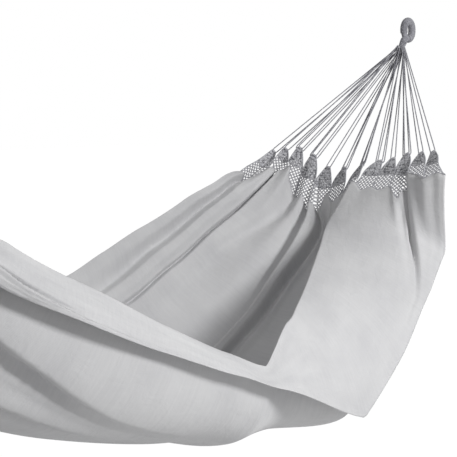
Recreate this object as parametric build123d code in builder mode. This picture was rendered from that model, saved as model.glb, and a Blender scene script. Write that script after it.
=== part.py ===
from build123d import *
from math import atan2, cos, hypot, pi, radians, sin, sqrt
from typing import NamedTuple
import os

# Grey cotton hammock, hung between two hooks, millimetres, +Z up.
# The origin is the middle of the head eye. The bed runs towards -X.
# The near edge, which hangs down as a lapel, is on the -Y side.

# Driving dimensions
HOOK_SPAN = 3088              # from the middle of one eye to the other
MID_X = -HOOK_SPAN / 2        # plane halfway between the hooks

EYE_BUNDLE_RADIUS = 12        # cords bundled into the eye
EYE_RING_RADIUS = 36          # centre line of the eye
EYE_TURNS = 24                # turns of the cord wrapped round the eye
EYE_CORD = 3.4                # diameter of that cord
EYE_OPEN_ANGLE = 62           # degrees of the ring that the wrapping leaves bare at the neck
FIT_GAP = 0.1                 # between a wrapped cord and what it is wrapped on

NECK_DISTANCE = 75            # from the middle of the eye to the neck
NECK_SLOPE = 53.3             # degrees below the horizontal, towards the bed
NECK_BALL_RADIUS = 15
NECK_TURNS = 4
NECK_CORD = 2.6
NECK_PITCH = 3.8
NECK_WRAP_START = 50.5        # where the whipping starts, from the middle of the eye

CLOTH_THICKNESS = 2.0
SCALLOP_THICKNESS = 3.0
TUNNEL_LENGTH = 8             # hem at the tip of a tab, which holds the cord
TUNNEL_OUTER_RADIUS = 5.0
TUNNEL_INNER_RADIUS = 2.9
TONGUE_WIDTH = 12
SHOULDER_HEIGHT = 0.50        # of the scallop's height, where it starts to narrow
EDGE_ROW = 9                  # from the cloth's edge to the first row of gaps
GAP_PITCH = 13                # from one gap of the lattice to the next
GAP_SIZE = 6.5                # side of one diamond gap
PLATE_GAP = 3.0               # between two scallops
CLOTH_LAP = 1.0               # how far a scallop runs into the cloth's edge

CORD_DIAMETER = 4.5
LOOP_WIDTH = 19               # between the two legs of a cord at its tab
LOOP_BEND = 5.5
SECOND_LOOP_DROP = 13         # a second loop sits this far below the first
SECOND_LOOP_SPREAD = 8.2      # and each leg this far outside it
CORD_PITCH = 5.6              # between cords where they meet at the neck
CORD_START = 19               # from the neck's middle to the first cord end


class Station(NamedTuple):
    """One cross-section of the bed, on a plane that leans with the bed's run."""

    x: float
    z: float
    tilt: float               # degrees, how far the plane leans back
    far: tuple                # far edge, (y, height in the plane)
    floor: tuple              # lowest line of the bed
    rim: tuple                # fold over which the near side hangs outwards
    lapel: tuple              # middle of the hanging lapel
    near: tuple               # near edge
    fold: float               # depth of the folds in the far wall
    belly: float              # how far the near wall bulges out below the rim


STATIONS = (
    Station(-525, -632, 24, (412, 88), (128, -82), (-40, 5), (-205, 14), (-434, 88), 2, -60),
    Station(-620, -735, 40, (405, 188), (40, -75), (-20, 9), (-230, -15), (-433, -125), 12, 0),
    Station(-800, -850, 32, (430, 224), (-20, -100), (-110, 64), (-295, 0), (-462, -125), 16, 50),
    Station(-1030, -950, 22, (460, 222), (-60, -190), (-220, 108), (-385, 10), (-492, -164), 14, 250),
    Station(-1240, -1010, 12, (485, 197), (-120, -222), (-310, 124), (-440, -10), (-500, -216), 12, 390),
    Station(-1440, -1042, 4, (500, 158), (-150, -205), (-400, 139), (-462, 42), (-500, -70), 9, 100),
    Station(-1620, -1042, -3, (500, 135), (-150, -190), (-450, 60), (-479, 37), (-500, 11), 6, 40),
    Station(-1809, -1020, -11, (490, 150), (-150, -152), (-460, 112), (-484, 91), (-500, 65), 6, 20),
    Station(-2058, -950, -22, (462, 185), (-140, -149), (-450, 157), (-470, 131), (-482, 98), 8, 20),
    Station(-2288, -850, -32, (432, 205), (-120, -138), (-420, 184), (-444, 150), (-460, 109), 10, 15),
    Station(-2468, -735, -40, (405, 185), (-70, -110), (-380, 183), (-404, 143), (-420, 96), 12, 5),
    Station(-2563, -632, -26, (400, 95), (20, -78), (-290, 40), (-340, 60), (-405, 75), 2, -80),
)

# Where the folds of the far wall lie, from the far edge to the floor, and how
# far each stands off the wall: 1 is a crest, -1 a crease.
FAR_FOLDS = ((0, 0), (0.14, 1), (0.29, -1), (0.45, 0.4), (0.60, 0.2), (0.76, 1), (0.90, -1))
NEAR_WALL = (0, 0.25, 0.5, 0.75, 1)
LAPEL = (0.06, 0.3, 0.55, 0.78, 1)
HOLLOW_IN = 0.22              # how full the far wall is, as shares of its size
HOLLOW_UP = 0.12
BELLY_DROP = 0.3              # a bulging near wall also sinks by this share
SHARE_STEP = 0.01             # for the slope of a curve
SHARPEST_MITRE = 0.4

# Tips of the twelve head tabs, from the far side to the near side: (y, z),
# and the number of cord loops that each one holds.
TAB_X = -449
TABS = (
    (354, -493, 1),
    (295, -482, 1),
    (228, -476, 2),
    (163, -503, 2),
    (98, -548, 1),
    (25, -548, 2),
    (-56, -526, 2),
    (-127, -517, 2),
    (-180, -507, 1),
    (-236, -489, 2),
    (-292, -484, 1),
    (-338, -479, 1),
)


def bend_point(start, control, end, share):
    """Point on the quadratic curve from start to end that leans to control."""
    rest = 1 - share
    return tuple(
        rest * rest * a + 2 * rest * share * b + share * share * c
        for a, b, c in zip(start, control, end)
    )


def section_line(station):
    """Middle line of the cloth at one station, from the far to the near edge."""
    far, floor, rim, near = station.far, station.floor, station.rim, station.near
    far_hollow = (far[0] - HOLLOW_IN * (far[0] - floor[0]), floor[1] + HOLLOW_UP * (far[1] - floor[1]))
    near_hollow = (rim[0] - station.belly, floor[1] - BELLY_DROP * station.belly)
    lapel_crown = tuple(2 * m - (a + b) / 2 for m, a, b in zip(station.lapel, rim, near))
    points = []
    for share, lift in FAR_FOLDS:
        here = bend_point(far, far_hollow, floor, share)
        ahead = bend_point(far, far_hollow, floor, share + SHARE_STEP)
        dy, dh = ahead[0] - here[0], ahead[1] - here[1]
        off = lift * station.fold / hypot(dy, dh)
        points.append((here[0] + off * dh, here[1] - off * dy))
    points += [bend_point(floor, near_hollow, rim, share) for share in NEAR_WALL]
    points += [bend_point(rim, lapel_crown, near, share) for share in LAPEL]
    return points


def offset_line(points, distance):
    """The same line moved sideways by distance, with mitred corners."""
    moved = []
    for i, (y, h) in enumerate(points):
        before = points[max(i - 1, 0)]
        after = points[min(i + 1, len(points) - 1)]
        into = atan2(h - before[1], y - before[0]) if i else None
        out = atan2(after[1] - h, after[0] - y) if i < len(points) - 1 else None
        into = out if into is None else into
        out = into if out is None else out
        turn = (out - into + pi) % (2 * pi) - pi
        side = into + turn / 2 + pi / 2
        reach = distance / max(cos(turn / 2), SHARPEST_MITRE)
        moved.append((y + reach * cos(side), h + reach * sin(side)))
    return moved


def station_plane(station):
    """Plane of one section: local x runs to the far side, local y upwards."""
    lean = radians(station.tilt)
    return Plane(
        origin=(station.x, 0, station.z),
        x_dir=(0, 1, 0),
        z_dir=(cos(lean), 0, sin(lean)),
    )


def line_length(points):
    return sum(hypot(b[0] - a[0], b[1] - a[1]) for a, b in zip(points, points[1:]))


def mirrored(point):
    """The same place at the foot end."""
    return Vector(-HOOK_SPAN - point.X, point.Y, point.Z)


# Bed cloth: one sheet, lofted through its cross-sections
with BuildPart() as bed_cloth:
    for station in STATIONS:
        middle = section_line(station)
        outline = offset_line(middle, CLOTH_THICKNESS / 2)
        outline += reversed(offset_line(middle, -CLOTH_THICKNESS / 2))
        with BuildSketch(station_plane(station)):
            with BuildLine():
                Polyline(*outline, close=True)
            make_face()
    loft(ruled=True)

bed_width = max(line_length(section_line(station)) for station in STATIONS)
print("widest section of the cloth, edge to edge:", round(bed_width), "mm")


# Scallops of macrame: a lattice with a tab, one for each stretch of the edge
def share_along(points, share):
    """Point at a share of the length of a line."""
    left = share * line_length(points)
    for a, b in zip(points, points[1:]):
        step = hypot(b[0] - a[0], b[1] - a[1])
        if left <= step:
            return (a[0] + (b[0] - a[0]) * left / step, a[1] + (b[1] - a[1]) * left / step)
        left -= step
    return points[-1]


def scallop_plane(left, right, tip):
    """Plane with its origin midway along the cloth's edge, local y to the tip."""
    along = (right - left).normalized()
    rise = tip - (left + right) / 2
    up = (rise - along * rise.dot(along)).normalized()
    return Plane(origin=(left + right) / 2, x_dir=along, z_dir=along.cross(up))


def lattice_spots(half, left, right):
    """Centres of the diamond gaps between the cloth's edge and the shoulders."""
    spots = []
    top = min(left.Y, right.Y) - GAP_SIZE
    rows = int((top - EDGE_ROW) / (GAP_PITCH / 2))
    columns = int(half / GAP_PITCH) + 1
    for row in range(rows + 1):
        y = EDGE_ROW + row * GAP_PITCH / 2
        low = -half + (left.X + half) * y / left.Y + GAP_SIZE
        high = half + (right.X - half) * y / right.Y - GAP_SIZE
        shift = GAP_PITCH / 2 if row % 2 else 0
        for column in range(-columns, columns + 1):
            x = column * GAP_PITCH + shift
            if low < x < high:
                spots.append((x, y))
    return spots


def make_scallop(knots, shoulders, tip, pull, loops):
    """One scallop: holed plate between two knots of the edge, with its tab.

    shoulders are where it starts to narrow, shared with the scallops beside it.
    pull is the way from the tip to the neck. The tab points that way.
    """
    plane = scallop_plane(*knots, tip)
    hem_way = plane.z_dir.cross(pull).normalized()
    tab_way = hem_way.cross(plane.z_dir)
    half = (knots[1] - knots[0]).length / 2 - PLATE_GAP / 2
    gap = Vector(PLATE_GAP / 2, 0, 0)
    left = plane.to_local_coords(shoulders[0]) + gap
    right = plane.to_local_coords(shoulders[1]) - gap
    side = hem_way * (TONGUE_WIDTH / 2)
    tab_foot = tip - tab_way * (SECOND_LOOP_DROP + 2 * TUNNEL_OUTER_RADIUS)
    corners = (tab_foot - side, tip - side, tip + side, tab_foot + side)
    tab = [plane.to_local_coords(corner) for corner in corners]
    if tab[0].X < tab[3].X:
        tab.reverse()
    seats = [tip - tab_way * SECOND_LOOP_DROP * i for i in range(loops)]
    with BuildPart() as scallop:
        with BuildSketch(plane.offset(-SCALLOP_THICKNESS / 2)):
            with BuildLine():
                Polyline(
                    (-half, -CLOTH_LAP),
                    (half, -CLOTH_LAP),
                    *[(corner.X, corner.Y) for corner in (right, *tab, left)],
                    close=True,
                )
            make_face()
            with Locations(*lattice_spots(half, left, right)):
                Rectangle(GAP_SIZE, GAP_SIZE, rotation=45, mode=Mode.SUBTRACT)
        extrude(amount=SCALLOP_THICKNESS)
        for seat in seats:
            with BuildSketch(Plane(origin=seat, z_dir=hem_way).offset(-TUNNEL_LENGTH / 2)):
                Circle(TUNNEL_OUTER_RADIUS)
            extrude(amount=TUNNEL_LENGTH)
        for seat in seats:
            with BuildSketch(Plane(origin=seat, z_dir=hem_way).offset(-TONGUE_WIDTH)):
                Circle(TUNNEL_INNER_RADIUS)
            extrude(amount=2 * TONGUE_WIDTH, mode=Mode.SUBTRACT)
    return scallop.part, seats, hem_way


# Cords: loops that run from the neck, through the hem of a tab, and back
def neck_spots(count):
    """Places where cords meet at the neck, sorted from the far to the near side."""
    spots = []
    for row in range(-3, 4):
        for column in range(-4, 5):
            y = (column + (0.5 if row % 2 else 0)) * CORD_PITCH
            spots.append((y + 0.02 * row, row * CORD_PITCH * sqrt(3) / 2))
    spots.sort(key=lambda spot: hypot(*spot))
    return sorted(spots[:count], reverse=True)


def make_loop(start, end, seat, along, half):
    """One cord loop: two straight legs and a bend through the hem of its tab."""
    with BuildPart() as loop:
        with BuildLine() as route:
            FilletPolyline(start, seat + along * half, seat - along * half, end, radius=LOOP_BEND)
        with BuildSketch(Plane(origin=route.line @ 0, z_dir=route.line % 0)):
            Circle(CORD_DIAMETER / 2)
        sweep()
    return loop.part, sum(edge.length for edge in route.edges())


def leg_gap(first, second):
    """Least distance between the middles of two legs, each a (start, end) pair."""
    steps = 60
    least = None
    for i in range(steps + 1):
        here = first[0] + (first[1] - first[0]) * (i / steps)
        run = second[1] - second[0]
        share = min(1, max(0, (here - second[0]).dot(run) / run.dot(run)))
        gap = (second[0] + run * share - here).length
        least = gap if least is None else min(least, gap)
    return least


way_angle = radians(NECK_SLOPE)
neck_way = Vector(-cos(way_angle), 0, -sin(way_angle))
neck = neck_way * NECK_DISTANCE

# Plane of the cords' ends at the neck, square to the middle of the fan
fan_middle = Vector(TAB_X, 0, sum(z for y, z, loops in TABS) / len(TABS))
fan_way = (fan_middle - neck).normalized()
fan_plane = Plane(origin=neck + fan_way * CORD_START, x_dir=(0, 1, 0), z_dir=fan_way)
spots = neck_spots(2 * sum(loops for y, z, loops in TABS))


def build_end(name, at_end):
    """Scallops and cords of one end; at_end puts a head point where it belongs."""
    last = STATIONS[0] if name == "head" else STATIONS[-1]
    edge = section_line(last)
    edge_plane = station_plane(last)
    knots = [
        edge_plane.from_local_coords(Vector(*share_along(edge, i / len(TABS)), 0))
        for i in range(len(TABS) + 1)
    ]
    tips = [at_end(Vector(TAB_X, y, z)) for y, z, loops in TABS]
    shoulders = []
    for i, knot in enumerate(knots):
        between = (tips[max(i - 1, 0)] + tips[min(i, len(TABS) - 1)]) / 2
        shoulders.append(knot + (between - knot) * SHOULDER_HEIGHT)
    free_spots = iter(spots)
    legs = []
    for i, tip in enumerate(tips):
        number = i + 1
        loops = TABS[i][2]
        pull = (at_end(neck) - tip).normalized()
        scallop, seats, hem_way = make_scallop(knots[i:i + 2], shoulders[i:i + 2], tip, pull, loops)
        scallop.label = f"{name}_scallop_{number:02d}"
        export_step(scallop, f"parts/{scallop.label}.step")

        far_way = hem_way if hem_way.Y > 0 else -hem_way
        ends = [
            at_end(fan_plane.from_local_coords(Vector(*next(free_spots), 0)))
            for leg in range(2 * loops)
        ]
        ends.sort(key=far_way.dot, reverse=True)
        cords = []
        for loop, seat in enumerate(seats):
            half = LOOP_WIDTH / 2 + SECOND_LOOP_SPREAD * loop
            far_end, near_end = ends[loops - 1 - loop], ends[loops + loop]
            cord, length = make_loop(far_end, near_end, seat, far_way, half)
            cords.append(cord)
            legs.append((far_end, seat + far_way * half))
            legs.append((near_end, seat - far_way * half))
            print(name, "cord", number, "loop", loop + 1, "length", round(length),
                  "mm, radius of its bends", LOOP_BEND, "mm")
        cord_node = Compound(children=cords)
        cord_node.label = f"{name}_cord_{number:02d}"
        export_step(cord_node, f"parts/{cord_node.label}.step")
    least = min(leg_gap(a, b) for i, a in enumerate(legs) for b in legs[i + 1:])
    print(name, "least gap between two cords:", round(least - CORD_DIAMETER, 2), "mm")


def biarc(start, start_way, end, end_way):
    """Two arcs that join start to end smoothly."""
    span = end - start
    ways = start_way + end_way
    turn = 2 * (1 - start_way.dot(end_way))
    lean = span.dot(ways)
    reach = (-lean + sqrt(lean * lean + turn * span.dot(span))) / turn
    middle = (start + end + (start_way - end_way) * reach) / 2
    chord = (middle - start).normalized()
    middle_way = chord * (2 * start_way.dot(chord)) - start_way
    TangentArc(start, middle, tangent=start_way)
    TangentArc(middle, end, tangent=middle_way)


def wind(place, turns, diameter):
    """A cord wound along place(turn), one biarc for each half turn."""
    nudge = 0.001
    stops = [i / 2 for i in range(2 * turns + 1)]
    ways = [(place(t + nudge) - place(t - nudge)).normalized() for t in stops]
    with BuildPart() as winding:
        with BuildLine() as route:
            first = place(stops[0])
            Line(first - ways[0] * diameter, first)
            for i in range(len(stops) - 1):
                biarc(place(stops[i]), ways[i], place(stops[i + 1]), ways[i + 1])
            last = place(stops[-1])
            Line(last, last + ways[-1] * diameter)
        with BuildSketch(Plane(origin=route.line @ 0, z_dir=route.line % 0)):
            Circle(diameter / 2)
        sweep()
    length = sum(edge.length for edge in route.edges())
    print("winding length", round(length), "mm, least gap to itself",
          round(self_gap(place, turns) - diameter, 2), "mm")
    return winding.part


def self_gap(place, turns):
    """Least distance between one turn and the next, from middle to middle."""
    steps = 24
    points = [place(i / steps) for i in range(turns * steps + 1)]
    gaps = []
    for i, here in enumerate(points):
        near_turn = points[i + steps // 2:i + 2 * steps]
        gaps += [(there - here).length for there in near_turn]
    return min(gaps)


def eye_turn(turn):
    """Middle of the cord wrapped round the ring, at a number of turns."""
    neck_angle = 180 + NECK_SLOPE
    free = EYE_OPEN_ANGLE
    ring_angle = radians(neck_angle + free / 2 + (360 - free) * turn / EYE_TURNS)
    round_angle = 2 * pi * turn
    reach = EYE_BUNDLE_RADIUS + FIT_GAP + EYE_CORD / 2
    out = EYE_RING_RADIUS + reach * cos(round_angle)
    return Vector(out * cos(ring_angle), reach * sin(round_angle), out * sin(ring_angle))


def neck_turn(turn):
    """Middle of the cord whipped round the neck, at a number of turns."""
    reach = EYE_BUNDLE_RADIUS + FIT_GAP + NECK_CORD / 2
    along = NECK_WRAP_START + NECK_PITCH * turn
    across = Vector(-neck_way.Z, 0, neck_way.X)
    side = across * cos(2 * pi * turn) + Vector(0, 1, 0) * sin(2 * pi * turn)
    return neck_way * along + side * reach


# Eye: the bundle of cords bent into a ring, with the neck below it
with BuildPart() as head_eye_bundle:
    with BuildSketch(Plane.XY):
        with Locations((EYE_RING_RADIUS, 0)):
            Circle(EYE_BUNDLE_RADIUS)
    revolve(axis=Axis.Y)
    with BuildSketch(Plane(origin=neck_way * EYE_RING_RADIUS, z_dir=neck_way)):
        Circle(EYE_BUNDLE_RADIUS)
    extrude(amount=NECK_DISTANCE - EYE_RING_RADIUS)
    with Locations(neck):
        Sphere(NECK_BALL_RADIUS)

eye_pieces = {
    "eye_bundle": head_eye_bundle.part,
    "eye_wrapping": wind(eye_turn, EYE_TURNS, EYE_CORD),
    "neck_whipping": wind(neck_turn, NECK_TURNS, NECK_CORD),
}

os.makedirs("parts", exist_ok=True)
bed_cloth.part.label = "bed_cloth"
export_step(bed_cloth.part, "parts/bed_cloth.step")

for name, piece in eye_pieces.items():
    piece.label = f"head_{name}"
    export_step(piece, f"parts/{piece.label}.step")
    with BuildPart() as foot_piece:
        mirror(piece, about=Plane.YZ.offset(MID_X))
    foot_piece.part.label = f"foot_{name}"
    export_step(foot_piece.part, f"parts/{foot_piece.part.label}.step")

build_end("head", lambda point: point)
build_end("foot", mirrored)
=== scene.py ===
# %% [markdown]
# # A grey cotton macrame hammock
# The bed is one woven cloth. At each end its warp yarns are knotted into a
# band of macrame scallops, every scallop is drawn to a tab, and cords run from
# the tabs to an eye that hangs on a hook. The loaded frame already holds every
# piece at its real size, so this script only dresses it: each cell replaces
# one kind of plain solid by the shape and the finish that the eye expects.
# All lengths are in metres. The origin is the middle of the head eye.

# %% Load the frame
import math
import bmesh
import bpy
import numpy as np
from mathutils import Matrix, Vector


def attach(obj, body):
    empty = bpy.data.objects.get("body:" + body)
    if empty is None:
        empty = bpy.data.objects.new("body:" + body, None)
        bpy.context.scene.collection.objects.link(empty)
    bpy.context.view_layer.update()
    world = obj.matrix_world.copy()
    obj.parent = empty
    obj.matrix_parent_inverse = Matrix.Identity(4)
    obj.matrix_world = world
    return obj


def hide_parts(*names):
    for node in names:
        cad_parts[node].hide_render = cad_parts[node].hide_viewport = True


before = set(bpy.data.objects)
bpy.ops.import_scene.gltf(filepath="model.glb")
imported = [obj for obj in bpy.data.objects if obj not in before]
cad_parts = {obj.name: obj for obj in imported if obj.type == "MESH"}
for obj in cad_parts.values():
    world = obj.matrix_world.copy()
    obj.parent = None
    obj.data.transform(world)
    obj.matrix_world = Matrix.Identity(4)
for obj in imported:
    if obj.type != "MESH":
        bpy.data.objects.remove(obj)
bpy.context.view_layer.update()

# %% [markdown]
# ## The camera
# The camera comes first, because every later look is judged through it. A
# camera in Blender looks down its own -Z axis, so a level camera is turned by
# 90 degrees about X, and its heading is a turn about Z.

# %% Camera at the photographed angle
CAMERA_PLACE = (-3.404, -1.730, -0.359)
CAMERA_HEADING = 38.1         # degrees from +X towards +Y
CAMERA_PITCH = -7.06          # degrees, downwards is negative
LENS_MM = 70.27               # on a sensor 36 mm wide

camera = bpy.data.objects.new("camera", bpy.data.cameras.new("camera"))
bpy.context.scene.collection.objects.link(camera)
camera.data.lens = LENS_MM
camera.data.sensor_width = 36
camera.location = CAMERA_PLACE
camera.rotation_euler = (
    math.radians(90 + CAMERA_PITCH), 0, math.radians(CAMERA_HEADING - 90))
camera.data.clip_start = 0.05
camera.data.clip_end = 60
bpy.context.scene.camera = camera
print("camera", camera.location[:], "lens", LENS_MM)

# %% [markdown]
# ## Helpers for materials
# Shader nodes are added one at a time, so one small function adds a node, sets
# its sockets and properties, and links what it is fed. Colours are written as
# sRGB hex, as a colour picker shows them. Shaders work in linear light, so one
# function turns hex into linear numbers.

# %% Material helpers
def linear(hex_colour):
    """Linear RGBA of an sRGB hex colour."""
    channels = [int(hex_colour[i:i + 2], 16) / 255 for i in (1, 3, 5)]
    return tuple(
        c / 12.92 if c <= 0.04045 else ((c + 0.055) / 1.055) ** 2.4 for c in channels
    ) + (1.0,)


def add(tree, kind, inputs=None, **settings):
    """Adds one shader node; an input is a value or an output socket to link."""
    node = tree.nodes.new("ShaderNode" + kind)
    for name, value in settings.items():
        setattr(node, name, value)
    for name, value in (inputs or {}).items():
        if isinstance(value, bpy.types.NodeSocket):
            tree.links.new(value, node.inputs[name])
        else:
            node.inputs[name].default_value = value
    return node


def new_material(name, hex_colour, roughness, sheen):
    """A material with one Principled shader, and that shader's node."""
    material = bpy.data.materials.new(name)
    material.use_nodes = True
    shader = material.node_tree.nodes["Principled BSDF"]
    shader.inputs["Base Color"].default_value = linear(hex_colour)
    shader.inputs["Roughness"].default_value = roughness
    shader.inputs["IOR"].default_value = 1.47
    shader.inputs["Sheen Weight"].default_value = sheen
    shader.inputs["Sheen Roughness"].default_value = 0.5
    return material, shader


print("helpers ready, mid grey is", [round(c, 3) for c in linear("#808080")[:3]])

# %% [markdown]
# ## Cotton cloth
# The bed is plain-woven cotton canvas of soft, slightly uneven yarn. Cotton
# scatters light and has no gloss, so roughness is high and a little sheen
# stands for its fuzz. The weave reads the cloth's own UV map, whose unit is
# one metre, so warp and weft follow the folds. Real threads are about 0.8 mm
# apart, which the picture can't show, so they are drawn 2.5 mm apart. Longer
# streaks along the warp are the slubs of uneven yarn, and the soft bumps are
# the creases that cotton keeps from lying folded.

# %% Cloth material
def thread_bump(tree, uv, pitch, turn):
    """Height of one set of parallel threads, pitch metres apart."""
    turned = add(tree, "Mapping", {"Vector": uv, "Rotation": (0, 0, math.radians(turn))})
    # A wave texture of scale 1 repeats every 2 pi / 20 metres
    return add(tree, "TexWave", {"Vector": turned.outputs[0], "Scale": 2 * math.pi / 20 / pitch,
                                 "Distortion": 0.6, "Detail": 1.0,
                                 "Detail Scale": 2.0}).outputs["Fac"]


def plain_cotton(name, hex_light, hex_dark, pitch):
    """Plain-woven cotton: threads both ways, slubs, and soft old creases."""
    material, shader = new_material(name, hex_light, 0.92, 0.25)
    tree = material.node_tree
    uv = add(tree, "TexCoord").outputs["UV"]
    warp = thread_bump(tree, uv, pitch, 0)
    weft = thread_bump(tree, uv, pitch, 90)
    weave = add(tree, "Math", {0: warp, 1: weft}, operation="MULTIPLY").outputs[0]
    stretch = add(tree, "Mapping", {"Vector": uv, "Scale": (160.0, 5.0, 1.0)})
    slubs = add(tree, "TexNoise", {"Vector": stretch.outputs[0], "Scale": 1.0,
                                   "Detail": 3.0}).outputs["Fac"]
    cloud = add(tree, "TexNoise", {"Vector": uv, "Scale": 5.0, "Detail": 4.0}).outputs["Fac"]
    tone = add(tree, "Mix", {0: 0.7, 2: slubs, 3: cloud}).outputs[0]
    shade = add(tree, "MapRange", {"Value": tone, "From Min": 0.35, "From Max": 0.65}).outputs[0]
    colour = add(tree, "Mix", {0: shade, 6: linear(hex_dark), 7: linear(hex_light)},
                 data_type="RGBA")
    tree.links.new(colour.outputs[2], shader.inputs["Base Color"])
    creases = add(tree, "TexNoise", {"Vector": uv, "Scale": 16.0, "Detail": 5.0, "Roughness": 0.55,
                                     "Distortion": 0.4}).outputs["Fac"]
    soft = add(tree, "Bump", {"Height": creases, "Strength": 0.30, "Distance": 0.010})
    fine = add(tree, "Bump", {"Height": weave, "Strength": 0.20, "Distance": 0.0008,
                              "Normal": soft.outputs[0]})
    tree.links.new(fine.outputs[0], shader.inputs["Normal"])
    return material


canvas = plain_cotton("plain_woven_cotton", "#CFCFD0", "#C2C2C4", 0.0025)
print("made", canvas.name)

# %% [markdown]
# ## Cotton cord and yarn
# The cords are three-ply twisted cotton, a darker grey than the cloth. The
# plies are modelled, so the material only adds the yarn's fuzz and the small
# changes of dye from stretch to stretch. It reads Object coordinates, which
# suit a piece with no flat side.

# %% Cord and yarn materials
def yarn(name, hex_light, hex_dark, grain):
    """Twisted cotton: grain is the length of one patch of tone, in metres."""
    material, shader = new_material(name, hex_light, 0.95, 0.3)
    tree = material.node_tree
    place = add(tree, "TexCoord").outputs["Object"]
    fleck = add(tree, "TexNoise", {"Vector": place, "Scale": 1 / grain,
                                   "Detail": 3.0}).outputs["Fac"]
    shade = add(tree, "MapRange", {"Value": fleck, "From Min": 0.35, "From Max": 0.65}).outputs[0]
    colour = add(tree, "Mix", {0: shade, 6: linear(hex_dark), 7: linear(hex_light)},
                 data_type="RGBA")
    tree.links.new(colour.outputs[2], shader.inputs["Base Color"])
    fuzz = add(tree, "TexNoise", {"Vector": place, "Scale": 1500.0, "Detail": 2.0}).outputs["Fac"]
    bump = add(tree, "Bump", {"Height": fuzz, "Strength": 0.5, "Distance": 0.0006})
    tree.links.new(bump.outputs[0], shader.inputs["Normal"])
    return material


cord_cotton = yarn("three_ply_cotton_cord", "#A2A2A8", "#8C8C93", 0.02)
lattice_yarn = yarn("knotted_cotton_yarn", "#C2C2C6", "#A6A6AC", 0.008)
wrap_cotton = yarn("wrapped_cotton_cord", "#A4A4AA", "#8C8C93", 0.006)
print("made", cord_cotton.name, lattice_yarn.name, wrap_cotton.name)

# %% [markdown]
# ## Knotted cotton
# The tabs are rows of tight knots, which catch the light, with small shaded
# hollows between them. A Voronoi texture has one rounded cell for each knot,
# and its distance gives the depth of the hollows and a painted shade that
# darkens the colour towards them. Real knots are about 5 mm apart, and they
# are drawn 8.5 mm apart so that the picture shows them.

# %% Knotted material
KNOT_PITCH = 0.0085           # between knots


def knotted(name, hex_light, hex_dark, pitch):
    """Close rows of knots, pitch metres apart, with painted shade in the hollows between them."""
    material, shader = new_material(name, hex_light, 0.95, 0.3)
    tree = material.node_tree
    place = add(tree, "TexCoord").outputs["Object"]
    cells = add(tree, "TexVoronoi", {"Vector": place, "Scale": 1 / pitch,
                                     "Randomness": 0.75}).outputs["Distance"]
    # Painted shade: the colour darkens from each knot's middle towards the hollows round it
    hollow_shade = add(tree, "MapRange", {"Value": cells, "From Min": 0.42, "From Max": 0.78}).outputs[0]
    colour = add(tree, "Mix", {0: hollow_shade, 6: linear(hex_light), 7: linear(hex_dark)},
                 data_type="RGBA")
    tree.links.new(colour.outputs[2], shader.inputs["Base Color"])
    bump = add(tree, "Bump", {"Height": cells, "Strength": 0.8, "Distance": 0.003}, invert=True)
    tree.links.new(bump.outputs[0], shader.inputs["Normal"])
    return material


# 606066 is the painted shade in the hollows between the knots
tab_knots = knotted("close_knotted_tab", "#CACACE", "#606066", KNOT_PITCH)
print("made", tab_knots.name)

# %% [markdown]
# ## The hammock's own sizes
# The stations are the cross-sections of the bed. Each is a row of places on a
# plane that leans with the bed's run: the far edge, the floor, the ridge over
# which the near side hangs, the middle of that hanging lapel, and the near
# edge. The tabs are the tips of the twelve head scallops.

# %% Stations, tabs and cord sizes
HOOK_SPAN = 3.088

# x, z, lean in degrees, far y and height, floor y and height, rim y and height,
# lapel y and height, near y and height, bulge of the near wall
STATIONS = np.array((
    (-0.525, -0.632, 24, 0.412, 0.088, 0.128, -0.082, -0.040, 0.005, -0.205, 0.014, -0.434, 0.088, -0.060),
    (-0.620, -0.735, 40, 0.405, 0.188, 0.040, -0.075, -0.020, 0.009, -0.230, -0.015, -0.433, -0.125, 0.000),
    (-0.800, -0.850, 32, 0.430, 0.224, -0.020, -0.100, -0.110, 0.064, -0.295, 0.000, -0.462, -0.125, 0.050),
    (-1.030, -0.950, 22, 0.460, 0.222, -0.060, -0.190, -0.220, 0.108, -0.385, 0.010, -0.492, -0.164, 0.250),
    (-1.240, -1.010, 12, 0.485, 0.197, -0.120, -0.222, -0.310, 0.124, -0.440, -0.010, -0.500, -0.216, 0.390),
    (-1.440, -1.042, 4, 0.500, 0.158, -0.150, -0.205, -0.400, 0.139, -0.462, 0.042, -0.500, -0.070, 0.100),
    (-1.620, -1.042, -3, 0.500, 0.135, -0.150, -0.190, -0.450, 0.060, -0.479, 0.037, -0.500, 0.011, 0.040),
    (-1.809, -1.020, -11, 0.490, 0.150, -0.150, -0.152, -0.460, 0.112, -0.484, 0.091, -0.500, 0.065, 0.020),
    (-2.058, -0.950, -22, 0.462, 0.185, -0.140, -0.149, -0.450, 0.157, -0.470, 0.131, -0.482, 0.098, 0.020),
    (-2.288, -0.850, -32, 0.432, 0.205, -0.120, -0.138, -0.420, 0.184, -0.444, 0.150, -0.460, 0.109, 0.015),
    (-2.468, -0.735, -40, 0.405, 0.185, -0.070, -0.110, -0.380, 0.183, -0.404, 0.143, -0.420, 0.096, 0.005),
    (-2.563, -0.632, -26, 0.400, 0.095, 0.020, -0.078, -0.290, 0.040, -0.340, 0.060, -0.405, 0.075, -0.080),
))

TAB_X = -0.449
# y and z of each tab's tip, and the number of cord loops it holds
TABS = (
    (0.354, -0.493, 1), (0.295, -0.482, 1), (0.228, -0.476, 2), (0.163, -0.503, 2),
    (0.098, -0.548, 1), (0.025, -0.548, 2), (-0.056, -0.526, 2), (-0.127, -0.517, 2),
    (-0.180, -0.507, 1), (-0.236, -0.489, 2), (-0.292, -0.484, 1), (-0.338, -0.479, 1),
)
CORD_DIAMETER = 0.0045
LOOP_WIDTH = 0.019
SECOND_LOOP_DROP = 0.013
SECOND_LOOP_SPREAD = 0.0082
CORD_PITCH = 0.0056
CORD_START = 0.019

NECK_DISTANCE = 0.075
NECK_SLOPE = 53.3             # degrees below the horizontal
EYE_RING_RADIUS = 0.036
EYE_BUNDLE_RADIUS = 0.012

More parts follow.
